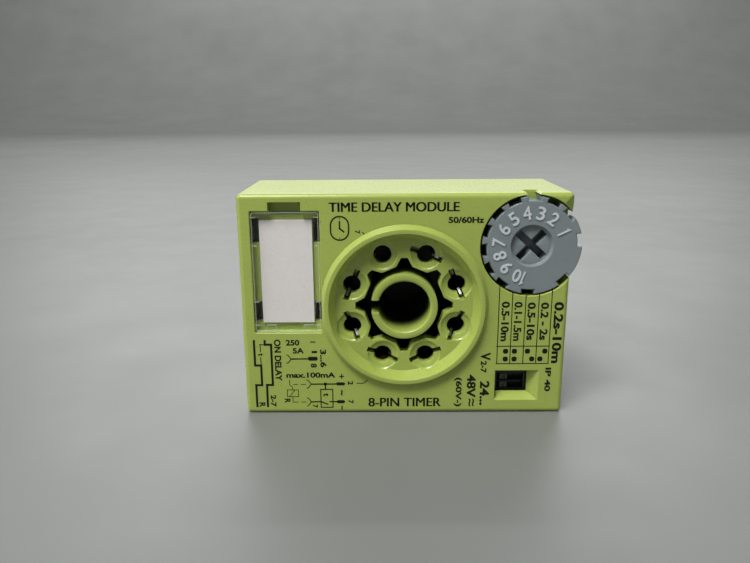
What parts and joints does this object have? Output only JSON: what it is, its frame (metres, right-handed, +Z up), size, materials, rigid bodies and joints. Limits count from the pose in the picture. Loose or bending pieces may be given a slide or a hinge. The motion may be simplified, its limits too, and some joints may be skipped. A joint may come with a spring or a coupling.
{
  "type": "plug-in timer module",
  "caption": "Flat green plug-in timer box with a round octal relay receptacle and guide tube, a numbered corner dial, a label window, a range switch and an octal plug behind.",
  "frame": {"origin": "bottom centre of the bounding box, on the surface that the module stands on", "axes": "+X to the right along the front, +Y from the front (receptacle and dial) to the back (plug), +Z up as it stands on its long narrow side"},
  "size_m": [0.0516, 0.034, 0.035],
  "materials": {
    "case_plastic": "lime-green moulded thermoplastic, satin",
    "dial_plastic": "mid-grey moulded plastic, satin",
    "clear_cover": "clear moulded plastic with fine scratches",
    "label_paper": "plain white card",
    "pin_brass": "bright turned brass",
    "tinned_metal": "tinned spring bronze",
    "switch_black": "black moulded plastic",
    "slider_grey": "dark grey moulded plastic",
    "pot_case": "blue moulded plastic",
    "pot_rotor_plastic": "off-white moulded plastic",
    "board_laminate": "brown paper-phenolic laminate",
    "component_black": "black moulded component body",
    "capacitor_sleeve": "blue shrink sleeve",
    "film_red": "dark red dipped coating",
    "ceramic_tan": "tan lacquer"
  },
  "bodies": {
    "case": {"housing": "case_plastic", "base_plate": "case_plastic", "pin_1": "pin_brass", "pin_2": "pin_brass", "pin_3": "pin_brass", "pin_4": "pin_brass", "pin_5": "pin_brass", "pin_6": "pin_brass", "pin_7": "pin_brass", "pin_8": "pin_brass", "contact_1": "tinned_metal", "contact_2": "tinned_metal", "contact_3": "tinned_metal", "contact_4": "tinned_metal", "contact_5": "tinned_metal", "contact_6": "tinned_metal", "contact_7": "tinned_metal", "contact_8": "tinned_metal", "coil_link_2": "tinned_metal", "coil_link_7": "tinned_metal", "label_card": "label_paper", "pot_body": "pot_case", "switch_body": "switch_black", "circuit_board": "board_laminate", "timer_ic": "component_black", "electrolytic_capacitor": "capacitor_sleeve", "film_capacitor": "film_red", "bridge_rectifier": "component_black", "thyristor": "component_black", "varistor": "ceramic_tan", "transistor": "component_black", "resistor_1": "ceramic_tan", "resistor_2": "ceramic_tan", "resistor_3": "ceramic_tan", "resistor_4": "ceramic_tan"},
    "dial": {"time_dial": "dial_plastic", "pot_rotor": "pot_rotor_plastic"},
    "range_slider_1": {"switch_slider_1": "slider_grey"},
    "range_slider_2": {"switch_slider_2": "slider_grey"},
    "label_cover": {"window_cover": "clear_cover"}
  },
  "joints": [
    {"name": "dial_turn", "type": "hinge", "parent": "case", "child": "dial", "pos_m": [0.01827, -0.01435, 0.027], "axis": [0, -1, 0], "range_deg": [-172, 74]},
    {"name": "slider_1_slide", "type": "slide", "parent": "case", "child": "range_slider_1", "axis": [1, 0, 0], "range_m": [0, 0.002]},
    {"name": "slider_2_slide", "type": "slide", "parent": "case", "child": "range_slider_2", "axis": [1, 0, 0], "range_m": [0, 0.002]},
    {"name": "cover_pull", "type": "slide", "parent": "case", "child": "label_cover", "axis": [0, -1, 0], "range_m": [0, 0.008]}
  ]
}
